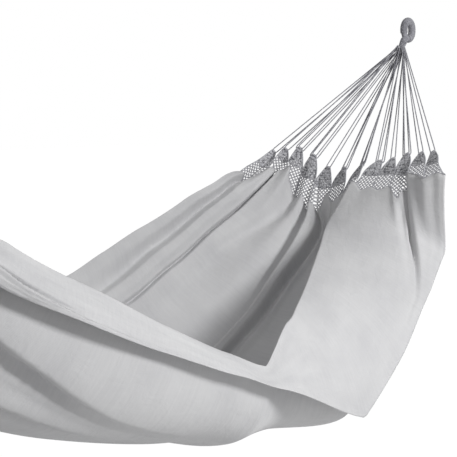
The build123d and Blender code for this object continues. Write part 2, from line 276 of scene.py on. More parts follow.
slope = math.radians(NECK_SLOPE)
neck_way = Vector((-math.cos(slope), 0, -math.sin(slope)))
neck = neck_way * NECK_DISTANCE
tips = [Vector((TAB_X, y, z)) for y, z, loops in TABS]
print(len(STATIONS), "stations,", sum(loops for y, z, loops in TABS), "cord loops to an end")

# %% [markdown]
# ## The shape of the bed as one formula
# A surface that must follow a photograph closely is easiest to steer as a
# formula of two shares: along, from the head to the foot, and across, from the
# far edge to the near edge. Between stations a smooth curve carries every
# number of a station on to the next one. Across the cloth three short curves
# make the far wall, the near wall and the lapel.

# %% Sections of the bed
FAR_PART = 0.42               # share of the cloth that is the far wall
NEAR_PART = 0.66              # up to the ridge
LAST = len(STATIONS) - 1
# Stations where the near edge, the lapel's middle and the ridge turn a sharp corner
CORNERS = ((4, slice(11, 13)), (5, slice(9, 11)), (6, slice(7, 9)))
HOLLOW_IN, HOLLOW_UP = 0.22, 0.12     # how full the far wall is, as shares of its size
BELLY_DROP = 0.3              # a bulging near wall also sinks by this share of its bulge


def station_slopes():
    """Slopes before and after each station that never swing past a station."""
    steps = np.diff(STATIONS, axis=0)
    before, after = steps[:-1], steps[1:]
    level = before * after <= 0
    inner = np.where(level, 0, 2 * before * after / np.where(level, 1, before + after))
    into = np.vstack((steps[:1], inner, steps[-1:]))
    out = into.copy()
    for station, columns in CORNERS:
        into[station, columns] = steps[station - 1, columns]
        out[station, columns] = steps[station, columns]
    return into, out


SLOPES_INTO, SLOPES_OUT = station_slopes()


def station_at(along):
    """Station numbers at shares along the bed, by a smooth curve."""
    place = np.clip(along, 0, 1) * LAST
    first = np.clip(place.astype(int), 0, LAST - 1)
    t = (place - first)[:, None]
    return (STATIONS[first] * (1 + 2 * t) * (1 - t) ** 2 + SLOPES_OUT[first] * t * (1 - t) ** 2
            + STATIONS[first + 1] * (3 - 2 * t) * t ** 2 + SLOPES_INTO[first + 1] * (t - 1) * t ** 2)


def bend(start, control, end, share):
    """Quadratic curves from start to end that lean to control."""
    rest = 1 - share
    return rest ** 2 * start + 2 * rest * share * control + share ** 2 * end


def section_point(station, across):
    """Place (y, height) in the station's plane at a share across the cloth."""
    far, floor, rim, lapel, near = (station[:, k:k + 2] for k in (3, 5, 7, 9, 11))
    bulge = station[:, 13:14]
    far_hollow = np.hstack((far[:, :1] - HOLLOW_IN * (far[:, :1] - floor[:, :1]),
                            floor[:, 1:] + HOLLOW_UP * (far[:, 1:] - floor[:, 1:])))
    near_hollow = np.hstack((rim[:, :1] - bulge, floor[:, 1:] - BELLY_DROP * bulge))
    crown = 2 * lapel - (rim + near) / 2
    share = across[:, None]
    on_far = np.clip(share / FAR_PART, 0, 1)
    on_near = np.clip((share - FAR_PART) / (NEAR_PART - FAR_PART), 0, 1)
    on_lapel = np.clip((share - NEAR_PART) / (1 - NEAR_PART), 0, 1)
    return np.where(share <= FAR_PART, bend(far, far_hollow, floor, on_far),
                    np.where(share <= NEAR_PART, bend(floor, near_hollow, rim, on_near),
                             bend(rim, crown, near, on_lapel)))


print("the bed has", len(STATIONS), "stations from", STATIONS[0][0], "to", STATIONS[-1][0])

# %% [markdown]
# ## Folds
# Hung cloth gathers in long pleats that start at the tabs and die away towards
# the middle. Each pleat is a few lines along the cloth, crests and creases.
# A line is written as its share across at six distances from the nearer end,
# and its height off the smooth surface there. Between two lines the height
# eases from one to the other, so every line is a crest or a crease.

# %% Fold lines
FOLD_STOPS = (0, 1, 2, 3, 4, 5.5)     # stations from the nearer end
# Shares across at the stops, then heights in millimetres
FOLD_LINES = (
    ((0.000, 0.000, 0.000, 0.000, 0.000, 0.000), (0, 0, 0, 0, 0, 0)),
    ((0.018, 0.018, 0.018, 0.018, 0.020, 0.024), (10, 9, 8, 7, 5, 1)),
    ((0.050, 0.049, 0.051, 0.049, 0.058, 0.068), (-22, -26, -25, -23, -19, -5)),
    ((0.063, 0.061, 0.063, 0.061, 0.070, 0.080), (28, 32, 31, 28, 22, 6)),
    ((0.085, 0.078, 0.078, 0.076, 0.084, 0.090), (32, 35, 33, 30, 24, 7)),
    ((0.132, 0.117, 0.106, 0.097, 0.102, 0.106), (14, 18, 17, 15, 12, 4)),
    ((0.140, 0.124, 0.112, 0.102, 0.108, 0.112), (-26, -32, -31, -27, -21, -6)),
    ((0.150, 0.134, 0.121, 0.111, 0.117, 0.120), (10, 10, 9, 8, 7, 2)),
    ((0.215, 0.185, 0.145, 0.140, 0.140, 0.140), (18, 13, 8, 6, 4, 1)),
    ((0.310, 0.235, 0.172, 0.165, 0.165, 0.165), (-34, -24, -10, -2, 0, 0)),
    ((0.350, 0.285, 0.250, 0.230, 0.220, 0.220), (12, 8, 6, 4, 2, 0)),
    ((0.380, 0.335, 0.324, 0.301, 0.284, 0.284), (-20, -22, -23, -19, -12, -2)),
    ((0.394, 0.355, 0.336, 0.311, 0.295, 0.295), (24, 30, 32, 27, 17, 3)),
    ((0.412, 0.390, 0.354, 0.323, 0.309, 0.309), (22, 28, 28, 24, 15, 3)),
    ((0.424, 0.402, 0.364, 0.331, 0.318, 0.318), (-18, -32, -32, -27, -18, -3)),
    ((0.434, 0.414, 0.376, 0.346, 0.335, 0.335), (2, -2, -6, -8, -4, 0)),
    ((0.442, 0.426, 0.388, 0.360, 0.350, 0.350), (-10, -20, -20, -16, -8, 0)),
    ((0.470, 0.460, 0.440, 0.430, 0.420, 0.420), (-6, -6, -4, 0, 0, 0)),
    ((0.495, 0.495, 0.495, 0.485, 0.470, 0.470), (0, 0, 2, 6, 0, 0)),
    ((0.512, 0.512, 0.511, 0.498, 0.490, 0.490), (2, 16, 20, 6, 0, 0)),
    ((0.517, 0.517, 0.516, 0.503, 0.495, 0.495), (0, -6, -7, 0, 0, 0)),
    ((0.560, 0.560, 0.545, 0.525, 0.510, 0.510), (2, 10, 10, 4, 0, 0)),
    ((0.594, 0.588, 0.570, 0.541, 0.520, 0.520), (2, 24, 28, 12, 0, 0)),
    ((0.599, 0.593, 0.575, 0.546, 0.525, 0.525), (0, -7, -8, -2, 0, 0)),
    ((0.640, 0.640, 0.640, 0.640, 0.640, 0.640), (0, 0, 0, 0, 0, 0)),
    ((0.700, 0.700, 0.700, 0.700, 0.700, 0.700), (0, 0, 0, 0, 0, 0)),
    ((0.780, 0.790, 0.800, 0.800, 0.800, 0.800), (5, 3, 0, 0, 0, 0)),
    ((0.850, 0.872, 0.930, 0.930, 0.930, 0.930), (3, 3, 0, 0, 0, 0)),
    ((0.868, 0.896, 0.960, 0.960, 0.960, 0.960), (-8, -9, 0, 0, 0, 0)),
    ((0.874, 0.903, 0.966, 0.966, 0.966, 0.966), (-2, -4, 0, 0, 0, 0)),
    ((0.882, 0.911, 0.972, 0.972, 0.972, 0.972), (-26, -24, -2, 0, 0, 0)),
    ((0.893, 0.922, 0.980, 0.980, 0.980, 0.980), (16, 15, 2, 0, 0, 0)),
    ((0.940, 0.958, 0.990, 0.990, 0.990, 0.990), (14, 8, 1, 0, 0, 0)),
    ((0.985, 0.985, 0.995, 0.995, 0.995, 0.995), (8, 3, 0, 0, 0, 0)),
    ((1.000, 1.000, 1.000, 1.000, 1.000, 1.000), (-6, -3, 0, 0, 0, 0)),
)
FOLD_SHARES = np.array([shares for shares, heights in FOLD_LINES])
FOLD_HEIGHTS = np.array([heights for shares, heights in FOLD_LINES]) / 1000


def fold_lift(along, across):
    """Height of the folds at shares along and across the cloth, in metres."""
    lifts = np.zeros(len(across))
    for row in np.unique(along):
        here = along == row
        stop = min(row, 1 - row) * LAST
        lines = [np.interp(stop, FOLD_STOPS, line) for line in FOLD_SHARES]
        heights = np.array([np.interp(stop, FOLD_STOPS, line) for line in FOLD_HEIGHTS])
        place = np.interp(across[here], lines, np.arange(len(lines)))
        first = np.clip(place.astype(int), 0, len(lines) - 2)
        ease = place - first
        ease = ease * ease * (3 - 2 * ease)
        lifts[here] = heights[first] * (1 - ease) + heights[first + 1] * ease
    return lifts


def section_side(station, across):
    """The way off the cloth towards the inside of the bed, in the section's plane."""
    step = 0.004
    inward = np.where(across <= FAR_PART, 0, np.where(across <= NEAR_PART, FAR_PART, NEAR_PART))
    outward = np.where(across <= FAR_PART, FAR_PART, np.where(across <= NEAR_PART, NEAR_PART, 1))
    before = np.maximum(across - step, inward + 1e-6)
    after = np.minimum(across + step, outward)
    run = section_point(station, after) - section_point(station, before)
    run /= np.maximum(np.linalg.norm(run, axis=1, keepdims=True), 1e-9)
    return np.column_stack((run[:, 1], -run[:, 0]))


def cloth_point(along, across, folded=True):
    """Points of the bed at shares along and across, as an array of x, y, z."""
    along, across = (np.atleast_1d(np.asarray(v, float)) for v in (along, across))
    station = station_at(along)
    place = section_point(station, across)
    if folded:
        place = place + section_side(station, across) * fold_lift(along, across)[:, None]
    lean = np.radians(station[:, 2])
    return np.column_stack((station[:, 0] - np.sin(lean) * place[:, 1], place[:, 0],
                            station[:, 1] + np.cos(lean) * place[:, 1]))


def edge_shares(along, count):
    """Shares across that split one section into equal lengths, and its length."""
    fine = np.linspace(0, 1, 1601)
    line = cloth_point(np.full_like(fine, along), fine, folded=False)
    run = np.concatenate(([0], np.cumsum(np.linalg.norm(np.diff(line, axis=0), axis=1))))
    return np.interp(np.linspace(0, run[-1], count + 1), run, fine), run[-1]


for along in (0, 0.36, 1):
    print("width of the cloth at", along, "is", round(edge_shares(along, 12)[1], 3))

# %% [markdown]
# ## Where the scallops and the cords go
# The head edge is split into twelve equal lengths. Each length carries one
# scallop, which rises to its tab, and the tab points to the neck. The cord
# ends are packed at the neck like pencils in a bunch. The foot end repeats it
# all in a mirror halfway between the hooks.

# %% Layout of both ends
def at_head(point):
    """A point of the head end, which stays where it is."""
    return Vector(point)


def at_foot(point):
    """The same point at the foot end, mirrored halfway between the hooks."""
    return Vector((-HOOK_SPAN - point[0], point[1], point[2]))


def neck_spots(count):
    """Places in the bunch of cords at the neck, from the far to the near side."""
    spots = []
    for row in range(-3, 4):
        for column in range(-4, 5):
            y = (column + (0.5 if row % 2 else 0)) * CORD_PITCH
            spots.append((y + 0.00002 * row, row * CORD_PITCH * math.sqrt(3) / 2))
    spots.sort(key=lambda spot: math.hypot(*spot))
    return sorted(spots[:count], reverse=True)


fan_way = (Vector((TAB_X, 0, sum(z for y, z, n in TABS) / len(TABS))) - neck).normalized()
fan_up = fan_way.cross(Vector((0, 1, 0)))
spots = neck_spots(2 * sum(loops for y, z, loops in TABS))
ENDS = {"head": (at_head, 0.0), "foot": (at_foot, 1.0)}


def lay_out(place, along):
    """Everything that one end needs, one dictionary for each tab."""
    shares, width = edge_shares(along, len(TABS))
    knots = [Vector(p) for p in cloth_point(np.full(len(shares), along), shares, folded=False)]
    end_tips = [place(tip) for tip in tips]
    free = iter(spots)
    tabs = []
    for i, (y, z, loops) in enumerate(TABS):
        tip = end_tips[i]
        left, right = knots[i], knots[i + 1]
        x_way = (right - left).normalized()
        rise = tip - (left + right) / 2
        y_way = (rise - x_way * rise.dot(x_way)).normalized()
        z_way = x_way.cross(y_way)
        pull = (place(neck) - tip).normalized()
        hem_way = z_way.cross(pull).normalized()
        tab_way = hem_way.cross(z_way)
        far_way = hem_way if hem_way.y > 0 else -hem_way
        ends = [place(neck + fan_way * CORD_START + Vector((0, 1, 0)) * s[0] + fan_up * s[1])
                for s in (next(free) for leg in range(2 * loops))]
        ends.sort(key=far_way.dot, reverse=True)
        routes = []
        for loop in range(loops):
            seat = tip - tab_way * SECOND_LOOP_DROP * loop
            half = LOOP_WIDTH / 2 + SECOND_LOOP_SPREAD * loop
            routes.append((ends[loops - 1 - loop], seat + far_way * half,
                           seat - far_way * half, ends[loops + loop]))
        between = [(end_tips[max(i - 1 + k, 0)] + end_tips[min(i + k, len(TABS) - 1)]) / 2
                   for k in (0, 1)]
        shoulders = [knots[i + k] + (between[k] - knots[i + k]) * 0.5 for k in (0, 1)]
        tabs.append({"number": i + 1, "along": along, "shares": shares[i:i + 2],
                     "facing": 1 if z_way.z > 0 else -1, "origin": (left + right) / 2,
                     "x": x_way, "y": y_way, "z": z_way,
                     "half": (right - left).length / 2, "tip": tip, "shoulders": shoulders,
                     "hem": hem_way, "pull": tab_way, "loops": loops, "routes": routes})
    return {"tabs": tabs, "shares": shares, "width": width}


layout = {end: lay_out(*facts) for end, facts in ENDS.items()}
for end, facts in layout.items():
    print(end, "edge", round(facts["width"], 3), "m wide, tab 1 at",
          [round(c, 3) for c in facts["tabs"][0]["tip"]])

# %% [markdown]
# ## Helpers for shapes
# A cord's route is a NURBS curve whose control points are the corners of its
# path: an order of 3 keeps it close to them and smooth. The order is set after
# the points, because before them it can't rise above the count of points. For
# a mesh of the cord, the curve is turned into points and a round bevel runs
# along them.

# %% Curve and mesh helpers
def route_points(corners, spacing):
    """Evenly spaced points along the smooth NURBS route through the corners."""
    curve = bpy.data.curves.new("route", "CURVE")
    curve.dimensions = "3D"
    spline = curve.splines.new("NURBS")
    spline.points.add(len(corners) - 1)
    for point, corner in zip(spline.points, corners):
        point.co = (*corner, 1)
    spline.order_u = 3
    spline.use_endpoint_u = True
    spline.resolution_u = 24
    carrier = bpy.data.objects.new("route", curve)
    mesh = bpy.data.meshes.new_from_object(carrier)
    line = np.array([v.co for v in mesh.vertices])
    bpy.data.objects.remove(carrier)
    bpy.data.curves.remove(curve)
    bpy.data.meshes.remove(mesh)
    run = np.concatenate(([0], np.cumsum(np.linalg.norm(np.diff(line, axis=0), axis=1))))
    places = np.linspace(0, run[-1], max(2, round(run[-1] / spacing)) + 1)
    return np.column_stack([np.interp(places, run, line[:, k]) for k in range(3)])


def tubes(name, paths, radius, sides=1):
    """One mesh of round tubes along lists of points."""
    curve = bpy.data.curves.new(name, "CURVE")
    curve.dimensions = "3D"
    curve.bevel_depth = radius
    curve.bevel_resolution = sides
    curve.use_fill_caps = True
    for path in paths:
        spline = curve.splines.new("POLY")
        spline.points.add(len(path) - 1)
        flat = np.column_stack((np.asarray(path), np.ones(len(path))))
        spline.points.foreach_set("co", flat.ravel())
    carrier = bpy.data.objects.new(name, curve)
    mesh = bpy.data.meshes.new_from_object(carrier)
    bpy.data.objects.remove(carrier)
    bpy.data.curves.remove(curve)
    return mesh


def moving_frames(line):
    """Tangents and two steady side ways along a line of points."""
    tangents = np.gradient(line, axis=0)
    tangents /= np.linalg.norm(tangents, axis=1, keepdims=True)
    side = np.cross(tangents[0], (0, 0, 1.0))
    if np.linalg.norm(side) < 0.1:
        side = np.cross(tangents[0], (0, 1.0, 0))
    sides = []
    for tangent in tangents:
        side = side - tangent * side.dot(tangent)
        side = side / np.linalg.norm(side)
        sides.append(side)
    sides = np.array(sides)
    return tangents, sides, np.cross(tangents, sides)


def ply_paths(line, radius, lay, plies=3, start=0.0):
    """Paths of the plies of a twisted cord that follows a line of points."""
    tangents, sides, others = moving_frames(line)
    run = np.concatenate(([0], np.cumsum(np.linalg.norm(np.diff(line, axis=0), axis=1))))
    paths = []
    for ply in range(plies):
        turn = 2 * np.pi * (run / lay + ply / plies) + start
        paths.append(line + radius * (np.cos(turn)[:, None] * sides
                                      + np.sin(turn)[:, None] * others))
    return paths


def dress(name, mesh, body, material, nodes):
    """Shows a mesh in place of CAD nodes, smooth, with one material."""
    piece = bpy.data.objects.new(name, mesh)
    bpy.context.scene.collection.objects.link(piece)
    if not mesh.materials:
        mesh.materials.append(material)
    mesh.shade_smooth()
    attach(piece, body)
    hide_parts(*nodes)
    return piece


first_route = layout["head"]["tabs"][0]["routes"][0]
print("route of the first head loop has", len(route_points(first_route, 0.01)), "points")

# %% [markdown]
# ## The suspension cords
# Every loop runs from the neck to its tab, turns round inside the tab's hem
# and runs back, pulled straight by the weight. A route that turns sharply at
# the end of a long straight run needs one more point beside the corner, or
# the curve would cut it far too wide. Each cord is three plies laid round each
# other, one turn in 22 mm, which is what the eye reads as rope.

# %% Cords
LAY_LENGTH = 0.022
PLY_STEPS = 8                 # points for each turn of the lay
PLY_RADIUS = CORD_DIAMETER * 0.26


def loop_line(route):
    """Points of one cord loop, as wide at the hem as the tab holds it."""
    start, first, second, end = route
    before = first + (start - first).normalized() * (first - second).length
    after = second + (end - second).normalized() * (first - second).length
    return route_points((start, before, first, second, after, end), LAY_LENGTH / PLY_STEPS)


cord_length = 0
for end, facts in layout.items():
    for number, tab in enumerate(facts["tabs"], start=1):
        paths = []
        for i, route in enumerate(tab["routes"]):
            line = loop_line(route)
            cord_length += float(np.linalg.norm(np.diff(line, axis=0), axis=1).sum())
            paths += ply_paths(line, PLY_RADIUS, LAY_LENGTH, start=number + 2.0 * i)
        mesh = tubes(f"{end}_twisted_cord_{number:02d}", paths, PLY_RADIUS)
        dress(mesh.name, mesh, "hammock", cord_cotton, [f"{end}_cord_{number:02d}"])
print("cord in both fans:", round(cord_length, 2), "m")

# %% [markdown]
# ## The woven bed
# The cloth starts as a flat grid whose corners are the cloth's corners. Every
# vertex is then carried to its place by the bed formula, so the mesh lines
# follow warp and weft. The row of vertices along each end also moves up and
# down with the zigzag where cloth turns into macrame. Solidify gives the sheet
# its thickness at the end.

# %% Edge of the cloth
# How far the cloth climbs towards the tabs, in metres, at each knot between
# scallops and at each scallop's middle, from the far edge to the near edge
EDGE_RISES = (-0.030, -0.036, 0.070, 0.085, 0.115, 0.075, 0.055, 0.030, 0.000, 0.000, 0.060,
              0.010, 0.020, 0.030, 0.045, 0.012, 0.020, 0.005, 0.015, -0.030, 0.045, 0.030, 0.000, 0.015, 0.010)
EDGE_REACH = 1.1              # stations, how far into the bed the climb fades


def edge_rise(spot):
    """Climb of the cloth's edge at a place counted in scallops, 0 to 12."""
    place = np.clip(np.asarray(spot) * 2, 0, len(EDGE_RISES) - 1)
    first = np.clip(place.astype(int), 0, len(EDGE_RISES) - 2)
    ease = place - first
    ease = ease * ease * (3 - 2 * ease)
    rises = np.array(EDGE_RISES)
    return rises[first] * (1 - ease) + rises[first + 1] * ease


def place_cloth(along, across):
    """Places of the cloth, with both its ends drawn up towards the tabs."""
    points = cloth_point(along, across)
    for end, facts in layout.items():
        end_along = ENDS[end][1]
        spot = np.interp(across, facts["shares"], np.arange(len(TABS) + 1))
        index = np.clip(spot.astype(int), 0, len(TABS) - 1)
        ways = np.array([tab["y"] for tab in facts["tabs"]])
        early = spot - index < 0.5
        before = ways[np.clip(np.where(early, index - 1, index), 0, len(TABS) - 1)]
        after = ways[np.clip(np.where(early, index, index + 1), 0, len(TABS) - 1)]
        blend = ((spot + 0.5) % 1)[:, None]
        way = before * (1 - blend) + after * blend
        fade = np.clip(1 - np.abs(along - end_along) * LAST / EDGE_REACH, 0, 1)
        points += way * (edge_rise(spot) * fade ** 2)[:, None]
    return points


print("the cloth's edge climbs between", min(EDGE_RISES), "and", max(EDGE_RISES), "m")

# %% Bed cloth
ALONG_STEPS = 150
ACROSS_STEPS = 310
STEP_SHARES = (0, 0.56, 0.74, 1)      # of the steps across, which lie closer where folds are
STEP_PLACES = (0, 0.45, 0.66, 1)
WIDEST_STATION = 4
CLOTH_THICKNESS = 0.0016

grid = bmesh.new()
bmesh.ops.create_grid(grid, x_segments=ALONG_STEPS, y_segments=ACROSS_STEPS, size=0.5)
flat = np.array([v.co for v in grid.verts])
along = np.round(flat[:, 0] + 0.5, 6)
across = np.interp(flat[:, 1] + 0.5, STEP_SHARES, STEP_PLACES)
placed = place_cloth(along, across)
flat_width = edge_shares(WIDEST_STATION / LAST, 12)[1]
middle = cloth_point(np.linspace(0, 1, 200), np.full(200, 0.5), folded=False)
flat_length = float(np.linalg.norm(np.diff(middle, axis=0), axis=1).sum())
threads = grid.loops.layers.uv.new("threads")
for vertex, place in zip(grid.verts, placed):
    vertex.co = place
for face in grid.faces:
    for loop in face.loops:
        i = loop.vert.index
        loop[threads].uv = (along[i] * flat_length, across[i] * flat_width)
bmesh.ops.recalc_face_normals(grid, faces=grid.faces)
cloth_mesh = bpy.data.meshes.new("bed_canvas")
grid.to_mesh(cloth_mesh)
grid.free()
bed = dress("bed_canvas", cloth_mesh, "hammock", canvas, ["bed_cloth"])
thickness = bed.modifiers.new("thickness", "SOLIDIFY")
thickness.thickness = CLOTH_THICKNESS
thickness.offset = 0

# %% [markdown]
# ## The macrame scallops
# A scallop begins where the weft of the cloth ends: pairs of warp yarns part
# and cross each other in a diamond net, and higher up they close into a tab
# that is woven tight. The net is drawn as two families of slanting double
# yarns which pass over and under each other in turn. Each yarn is cut where it
# meets the scallop's outline.

# %% Lattice yarns
YARN_PITCH = 0.0105           # between parallel double yarns, square to them
YARN_RADIUS = 0.00125
YARN_LIFT = 0.0011            # over and under at each crossing
TWIN_REACH = YARN_RADIUS * 0.95       # from a double yarn's middle to each of the two
FOOT_YARN_RADIUS = YARN_RADIUS * 1.3
LEAF_FOOT = 0.50              # of the way up from the cloth's edge, where the tab begins
LEAF_ROUNDNESS = 1.9          # 1 for a straight-sided tab, more for a fuller one
EDGE_INSET = 0.001            # from the scallop's side to its outermost yarns


def local(tab, point):
    """Place of a point in the scallop's own x, y, z."""
    span = point - tab["origin"]
    return Vector((span.dot(tab["x"]), span.dot(tab["y"]), span.dot(tab["z"])))


def cloth_edge(tab, count=10):
    """The cloth's edge under a scallop, in the scallop's own x, y, z."""
    across = np.linspace(*tab["shares"], count + 1)
    along_end = np.full(len(across), tab["along"])
    return np.array([local(tab, Vector(p)) for p in place_cloth(along_end, across)])


def in_place(tab, points):
    """Points of the scallop's own x, y, z, in the frame's axes, on the cloth's folds."""
    points = np.array(points, float)
    edge = cloth_edge(tab)
    tip = local(tab, tab["tip"])
    low = np.interp(points[:, 0], edge[:, 0], edge[:, 1])
    height = np.clip(1 - (points[:, 1] - low) / np.maximum(tip.y - low, 0.01), 0, 1)
    points[:, 2] += np.interp(points[:, 0], edge[:, 0], edge[:, 2]) * height
    return points @ np.array([tab["x"], tab["y"], tab["z"]]) + np.array(tab["origin"])


def foot_line(tab):
    """The line where cloth turns into net, from the far to the near knot."""
    return [(x, y) for x, y, z in cloth_edge(tab)]


def side_at(tab, y):
    """Left and right side of a scallop at a height above the knots."""
    left, right = (local(tab, s) for s in tab["shoulders"])
    tip = local(tab, tab["tip"])
    sides = []
    for shoulder, lean in ((left, -1), (right, 1)):
        knot = lean * (tab["half"] - EDGE_INSET)
        low = knot + (shoulder.x - lean * EDGE_INSET - knot) * y / shoulder.y
        narrow = np.clip((y - shoulder.y) / (tip.y - shoulder.y), 0, 1)
        high = shoulder.x + (tip.x + lean * TAB_TIP_HALF - shoulder.x) * narrow ** LEAF_ROUNDNESS
        sides.append(low if y < shoulder.y else high)
    return sides


def leaf_foot(tab):
    """Height above the knots at which the close knotted tab begins."""
    rise = float(np.mean(cloth_edge(tab)[2:-2, 1]))
    return rise + (local(tab, tab["tip"]).y - rise) * LEAF_FOOT


def net_outline(tab):
    """Corners of the net, anticlockwise."""
    top = leaf_foot(tab) + 0.004
    foot = foot_line(tab)
    levels = [y for y in np.linspace(0, 1, 5) * top if y > 0]
    right = [(side_at(tab, y)[1], y) for y in levels if y > foot[-1][1] + 0.004]
    left = [(side_at(tab, y)[0], y) for y in levels if y > foot[0][1] + 0.004]
    return foot + right + left[::-1]


def cut_lines(corners, normal, offset):
    """Pairs of points between which the line normal . p = offset is inside."""
    hits = []
    for a, b in zip(corners, corners[1:] + corners[:1]):
        u = a[0] * normal[0] + a[1] * normal[1] - offset
        v = b[0] * normal[0] + b[1] * normal[1] - offset
        if (u < 0) != (v < 0):
            share = u / (u - v)
            hits.append((a[0] + share * (b[0] - a[0])) * -normal[1]
                        + (a[1] + share * (b[1] - a[1])) * normal[0])
    hits.sort()
    return list(zip(hits[::2], hits[1::2]))


def lattice_paths(tab):
    """Paths of all the double yarns in one scallop's net."""
    corners = net_outline(tab)
    paths = []
    for family, sign in enumerate((1, -1)):
        normal = (math.sqrt(0.5), sign * math.sqrt(0.5))
        run_way = (-normal[1], normal[0])
        reach = [x * normal[0] + y * normal[1] for x, y in corners]
        lowest, highest = math.ceil(min(reach) / YARN_PITCH), math.floor(max(reach) / YARN_PITCH)
        for number in range(lowest, highest + 1):
            for low, high in cut_lines(corners, normal, number * YARN_PITCH):
                if high - low < YARN_PITCH / 2:
                    continue
                steps = np.linspace(low, high, max(3, round((high - low) / YARN_PITCH * 3)) + 1)
                lift = YARN_LIFT * np.cos(np.pi * (steps / YARN_PITCH + number + family))
                for twin in (-1, 1):
                    offset = number * YARN_PITCH + twin * TWIN_REACH
                    paths.append(np.column_stack((normal[0] * offset + run_way[0] * steps,
                                                  normal[1] * offset + run_way[1] * steps, lift)))
    return paths


# %% [markdown]
# ## Tabs and hems
# A tab is a leaf of close knots: wide where the net ends, narrow where the
# cord goes through. It starts as a small flat grid, which is pulled to the
# leaf's outline. Rows of knots lie across it, so its surface rises and falls
# with them, and rows of small gaps are left in its lower half. Over
# each cord lies a rolled hem, and stout yarns edge the scallop on both sides.

# %% Tabs
TAB_TIP_HALF = 0.010
LEAF_THICKNESS = 0.0026
LEAF_COLUMNS, LEAF_ROWS = 22, 30
KNOT_HEIGHT = 0.0026
GAP_ROWS = 15                 # rows of the leaf, above its foot, in which gaps are left
HEM_RADIUS = 0.0050
HEM_LENGTH = 0.015
EDGE_YARN_RADIUS = 0.0020


def leaf_mesh(tab):
    """The close knotted leaf at the top of a scallop, with its gaps."""
    tip = local(tab, tab["tip"])
    foot = leaf_foot(tab)
    top = tip.y + 0.003
    leaf = bmesh.new()
    bmesh.ops.create_grid(leaf, x_segments=LEAF_COLUMNS, y_segments=LEAF_ROWS, size=0.5)
    leaf.faces.ensure_lookup_table()
    gaps = []
    for face in leaf.faces:
        middle = face.calc_center_median()
        column = int((middle.x + 0.5) * LEAF_COLUMNS)
        row = int((middle.y + 0.5) * LEAF_ROWS)
        inside = row < GAP_ROWS and 0 < column < LEAF_COLUMNS - 1
        if inside and row % 3 == 1 and (column + row // 3 * 3) % 6 == 1:
            gaps.append(face)
    bmesh.ops.delete(leaf, geom=gaps, context="FACES")
    for vertex in leaf.verts:
        side, up = 2 * vertex.co.x, vertex.co.y + 0.5
        y = foot + (top - foot) * up
        left, right = side_at(tab, min(y, tip.y))
        sag = -0.008 * (1 - side * side) * (1 - up)
        x = (left + right) / 2 + side * (right - left) / 2
        knots = math.cos(2 * math.pi * x / KNOT_PITCH) * math.cos(2 * math.pi * y / KNOT_PITCH)
        vertex.co = (x, y + sag, KNOT_HEIGHT * knots * (1 - up * up) * (1 - side ** 4))
    bmesh.ops.solidify(leaf, geom=leaf.faces[:], thickness=LEAF_THICKNESS)
    bmesh.ops.translate(leaf, verts=leaf.verts, vec=(0, 0, LEAF_THICKNESS / 2 * tab["facing"]))
    bmesh.ops.recalc_face_normals(leaf, faces=leaf.faces)
    return leaf


def hem_path(tab, seat):
    """Short path of the rolled hem round the cord at a seat."""
    way = tab["hem"] * (HEM_LENGTH / 2)
    return [seat - way, seat - way * 0.5, seat, seat + way * 0.5, seat + way]


def border_paths(tab):
    """Stout yarns along both sides of the scallop, and one along its foot."""
    tip = local(tab, tab["tip"])
    foot = foot_line(tab)
    sides = []
    for k, start in ((0, foot[0][1]), (1, foot[-1][1])):
        levels = np.linspace(start, tip.y, 7)
        sides.append([(side_at(tab, max(y, 0.0))[k], y, 0) for y in levels])
    return sides, [(x, y, 0) for x, y in foot]


# %% Scallops
scallop_faces = 0
for end, facts in layout.items():
    for number, tab in enumerate(facts["tabs"], start=1):
        name = f"{end}_macrame_{number:02d}"
        whole = bmesh.new()
        sides, foot = border_paths(tab)
        rims = [route_points([Vector(p) for p in in_place(tab, path)], 0.004) for path in sides]
        seats = [(route[1] + route[2]) / 2 for route in tab["routes"]]
        yarns = (tubes("net", [in_place(tab, path) for path in lattice_paths(tab)], YARN_RADIUS, 1),
                 tubes("foot", [in_place(tab, foot)], FOOT_YARN_RADIUS, 1),
                 tubes("rims", rims, EDGE_YARN_RADIUS, 2),
                 tubes("hems", [hem_path(tab, seat) for seat in seats], HEM_RADIUS, 3))
        for mesh in yarns:
            whole.from_mesh(mesh)
            bpy.data.meshes.remove(mesh)
        plain = len(whole.faces)
        leaf = leaf_mesh(tab)
        for vertex, place in zip(leaf.verts, in_place(tab, [v.co for v in leaf.verts])):
            vertex.co = place
        woven = bpy.data.meshes.new("leaf")
        leaf.to_mesh(woven)
        leaf.free()
        whole.from_mesh(woven)
        bpy.data.meshes.remove(woven)
        whole.faces.ensure_lookup_table()
        for face in whole.faces[plain:]:
            face.material_index = 1
        mesh = bpy.data.meshes.new(name)
        scallop_faces += len(whole.faces)
        whole.to_mesh(mesh)
        whole.free()
        mesh.materials.append(lattice_yarn)
        mesh.materials.append(tab_knots)
        dress(name, mesh, "hammock", lattice_yarn, [f"{end}_scallop_{number:02d}"])
print("scallops have", scallop_faces, "faces")

# %% [markdown]
# ## The eyes
# An eye is the bunch of cords bent into a ring and wrapped tight with one more
# cord. The wrapping hides nearly all of the bunch, which shows only beside the
# neck. There the whipping ties ring and bunch together, and below it the cords
# spread over a round knot into the fan.

# %% Eyes
WRAP_CORD = 0.0032
WRAP_TURNS = 58
WRAP_STEPS = 16
OPEN_ANGLE = 62               # degrees that the wrapping leaves bare
WHIP_CORD = 0.0026
WHIP_TURNS = 7
WHIP_START = 0.0495
WHIP_SPACING = 1.02           # times the cord's thickness
SOLID_WRAP_CORD = 0.0034      # of the solid, whose middle line this cord keeps
WRAP_GAP = 0.0001
# Rings of strands in the bunch, as radius and count, and how far down the neck
# the strands pass at which share of their ring's radius
BUNCH_RINGS = ((0.0095, 14), (0.0048, 7))
BUNCH_STOPS = ((0.030, 1), (0.048, 1), (0.062, 0.95), (0.072, 1.25), (0.079, 1.25), (0.086, 0.8))


